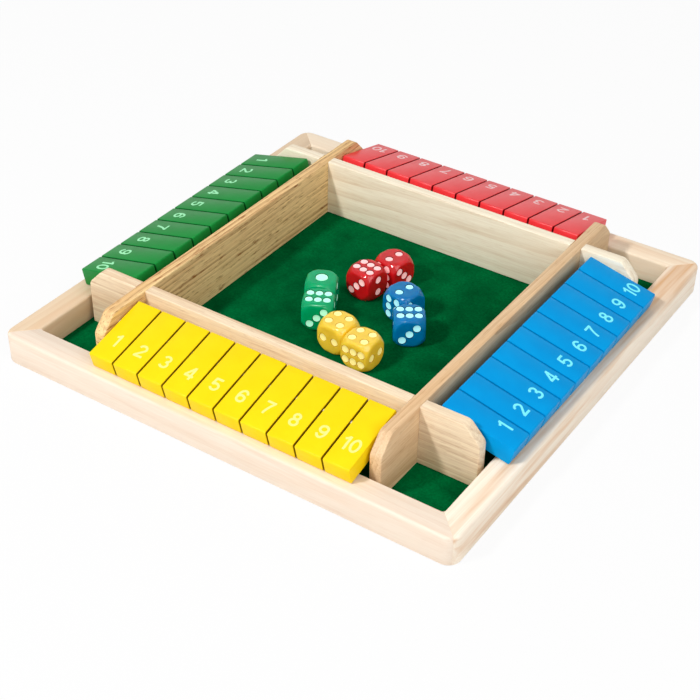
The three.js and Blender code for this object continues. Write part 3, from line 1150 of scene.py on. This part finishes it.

# %% [markdown]
# Clear acrylic bends light by 1.49 and takes its colour from dye all through it. Fully clear dice
# would show only the felt, and these look milky inside. So the shader shares the light between
# transmission and scattering below the surface.
#
# The pips' white paint is thin, and the dye behind it tints it. A weak emission gives it a
# painted glow. The golden dice get a weak painted glow all over as well. The drilled walls get a
# duller, darker finish than the rest, which is painted shade round the pips.
#
# An acrylic's looks are its clear share, its milky share, how deep light goes in millimetres, how
# much it shines, and the strength of its painted glow.

# %% Acrylic and pip paint
SWIRL_SPACING = 6 * MM
PIP_SPOT_SPACING = 1.2 * MM
# Strength of the pips' painted glow, an emission.
PIP_PAINTED_GLOW = 0.34
# Colour of the golden dice's painted glow, an emission.
GOLDEN_PAINTED_GLOW = "FFC000"
DEEP_DYE_SHARE = 0.8
# The pocket walls' looks: dull and opaque, painted shade round the pips.
POCKET_SHADE_LOOKS = (0, 0, 1.0, 0.1, 0)
acrylic_colours = {"green": "00C682", "red": "F01822", "blue": "0090D6", "yellow": "F8D748"}
# Darker colours of the pocket walls, painted shade.
pocket_shade_colours = {"green": "003A22", "red": "480408", "blue": "00264A", "yellow": "DEBA4C"}
acrylic_looks = {
    "green": (0.25, 0.85, 1.5, 0.13, 0),
    "red": (0.25, 0.85, 1.5, 0.32, 0),
    "blue": (0.25, 0.85, 1.5, 0.13, 0),
    "yellow": (0.08, 0.85, 4.0, 0.5, 0.14),
}
pip_colours = {
    "green": ("C0FFE4", "AAF8D6"),
    "red": ("FFD0D0", "FFB8B8"),
    "blue": ("B8F6FF", "A2ECFC"),
    "yellow": ("FFF2AC", "FFE884"),
}


def pip_paint(name, thick, thin):
    """White paint that dried thinner in some spots than in others."""
    finish, place = new_finish(name)
    return close_finish(finish, add_node(finish, "BsdfPrincipled", {
        "Base Color": patchy_colour(finish, place, PIP_SPOT_SPACING, 2, thick, thin),
        "Roughness": 0.4, "IOR": 1.5, "Specular IOR Level": 0.3,
        # The emission is a painted glow on the pip paint.
        "Emission Color": linear(thin), "Emission Strength": PIP_PAINTED_GLOW,
    }))


def acrylic(name, colour, clear_share, milky_share, glow_depth, gloss_level, glow):
    """Cast acrylic. Its dye swirls a little deeper in places, and its polish varies with it."""
    finish, place = new_finish(name)
    swirl = add_node(finish, "TexNoise", {
        "Vector": place, "Scale": 1 / SWIRL_SPACING, "Detail": 1, "Distortion": 0.6,
    })
    deep_dye = [DEEP_DYE_SHARE * channel for channel in linear(colour)[:3]] + [1]
    dye = add_node(finish, "MixRGB", {
        "Fac": swirl.outputs["Fac"], "Color1": linear(colour), "Color2": deep_dye,
    })
    polish = add_node(finish, "MapRange", {
        "Value": swirl.outputs["Fac"], "To Min": 0.04, "To Max": 0.12,
    })
    return close_finish(finish, add_node(finish, "BsdfPrincipled", {
        "Base Color": dye.outputs[0], "Roughness": polish.outputs[0], "IOR": 1.49,
        "Transmission Weight": clear_share, "Subsurface Weight": milky_share,
        "Subsurface Scale": glow_depth * MM, "Subsurface Radius": (1.0, 1.0, 1.0),
        "Specular IOR Level": gloss_level,
        # The emission is a painted glow, used by the golden dice.
        "Emission Color": linear(GOLDEN_PAINTED_GLOW), "Emission Strength": glow,
    }))


acrylics = {}
pocket_shade_acrylics = {}
pip_paints = {}
for colour in acrylic_colours:
    acrylics[colour] = acrylic(f"{colour}_acrylic", acrylic_colours[colour], *acrylic_looks[colour])
    pocket_shade_acrylics[colour] = acrylic(
        f"{colour}_pocket_shade_acrylic", pocket_shade_colours[colour], *POCKET_SHADE_LOOKS,
    )
    pip_paints[colour] = pip_paint(f"{colour}_die_pip_paint", *pip_colours[colour])
print("acrylics:", ", ".join(acrylics))

# %% [markdown]
# Each die lies as the photograph shows it. The number on top, a number on its side, and where
# that side faces in degrees from +X are enough to fix how it is turned.

# %% Throw the dice
thrown_dice = {
    "green_die_1": (1, 2, 25),
    "green_die_2": (6, 2, 27),
    "red_die_1": (6, 2, -9),
    "red_die_2": (2, 3, -13),
    "blue_die_1": (2, 6, -105),
    "blue_die_2": (6, 2, 34),
    "yellow_die_1": (4, 2, -95),
    "yellow_die_2": (4, 2, -1),
}
for name, (top, side, heading) in thrown_dice.items():
    colour = name.split("_")[0]
    up = Vector(die_faces[top][0])
    out = Vector(die_faces[side][0])
    low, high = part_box(name)
    heading_turn = Matrix.Rotation(math.radians(heading), 4, "Z")
    side_to_x = basis(out, up.cross(out), up).inverted()
    as_thrown = Matrix.Translation((low + high) / 2) @ heading_turn @ side_to_x
    body = copy_of(die_body, f"{name}_acrylic", as_thrown)
    body.data.materials[0] = acrylics[colour]
    body.data.materials[SHADED_POCKET_WALL] = pocket_shade_acrylics[colour]
    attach(body, name)
    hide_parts(name)
    painted_pips = copy_of(die_pips, f"{name}_pips", as_thrown)
    painted_pips.data.materials.append(pip_paints[colour])
    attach(painted_pips, name)
bpy.data.objects.remove(die_body)
bpy.data.objects.remove(die_pips)
print(f"dice {2 * die_half / MM:.0f} mm across")

# %% [markdown]
# ## Studio
#
# The game stands on a plain white floor. The shadows in the photograph lean more and more to the
# right as one goes from the back left pocket to the front right one, which only a near lamp does.
# Their slopes put it about a metre up, to the left and well in front. A small softbox there gives
# short shadows with soft edges. A large weak one on the right lifts the faces turned away from it.
# A third one above the camera only shines in gloss, for the highlights on the dice and the paint.
#
# The camera, reflections and light through the dice see the surroundings as pure white. Other
# rays see them dimmer, so that the fill doesn't wash the colours out. The floor is done in the same
# way, but keeps a small share of its own matt white, which takes the soft shadow. It is so wide
# that its far edge lies near the horizon.

# %% Floor
floor_size = 40.0
floor_drop = 0.1 * MM
floor_glow_share = 0.92


def is_looking(finish):
    """1 for rays from the camera, in a reflection or through acrylic, and 0 for all others."""
    ray = add_node(finish, "LightPath").outputs
    mirrored = add_node(finish, "Math", {
        0: ray["Is Glossy Ray"], 1: ray["Is Transmission Ray"],
    }, operation="MAXIMUM")
    return add_node(finish, "Math", {
        0: ray["Is Camera Ray"], 1: mirrored.outputs[0],
    }, operation="MAXIMUM").outputs[0]


deselect_all()
bpy.ops.mesh.primitive_plane_add(size=floor_size, location=(0, 0, -floor_drop))
floor = name_new("studio_floor")
floor_finish = new_finish("white_studio_floor")[0]
matt_white = add_node(floor_finish, "BsdfDiffuse", {"Color": linear("E6E6E6")})
glow = add_node(floor_finish, "Emission", {"Color": linear("FFFFFF"), "Strength": 1.0})
seen_share = add_node(floor_finish, "Math", {
    0: is_looking(floor_finish), 1: floor_glow_share,
}, operation="MULTIPLY")
close_finish(floor_finish, add_node(floor_finish, "MixShader", {
    "Fac": seen_share.outputs[0], 1: matt_white.outputs[0], 2: glow.outputs[0],
}))
floor.data.materials.append(floor_finish)
print(f"floor {floor_size:.0f} m wide")


# %% Lamps and surroundings
def add_softbox(name, place_mm, size_mm, power, lights_all=True):
    """A square area lamp that looks at the board's middle. It may be seen in gloss alone."""
    place = Vector(place_mm) * MM
    turn = (-place).to_track_quat("-Z", "Y").to_euler()
    bpy.ops.object.light_add(type="AREA", location=place, rotation=turn)
    lamp = bpy.context.object
    lamp.name = name
    lamp.data.size = size_mm * MM
    lamp.data.energy = power
    lamp.visible_diffuse = lights_all
    return lamp


add_softbox("key_softbox", (-420, -950, 1050), 140, 12.6)
add_softbox("fill_softbox", (1100, -500, 900), 900, 8.2)
add_softbox("gloss_softbox", (230, -720, 1000), 280, 11.0, lights_all=False)

fill_strength = 0.42
world = bpy.data.worlds.new("white_surroundings")
world.use_nodes = True
world.node_tree.nodes.clear()
bpy.context.scene.world = world
strength = add_node(world, "MapRange", {
    "Value": is_looking(world), "To Min": fill_strength, "To Max": 1.0,
})
sky = add_node(world, "Background", {"Color": linear("FFFFFF"), "Strength": strength.outputs[0]})
add_node(world, "OutputWorld", {"Surface": sky.outputs[0]})
bpy.context.scene.view_settings.view_transform = "Standard"
print("lamps and surroundings set")
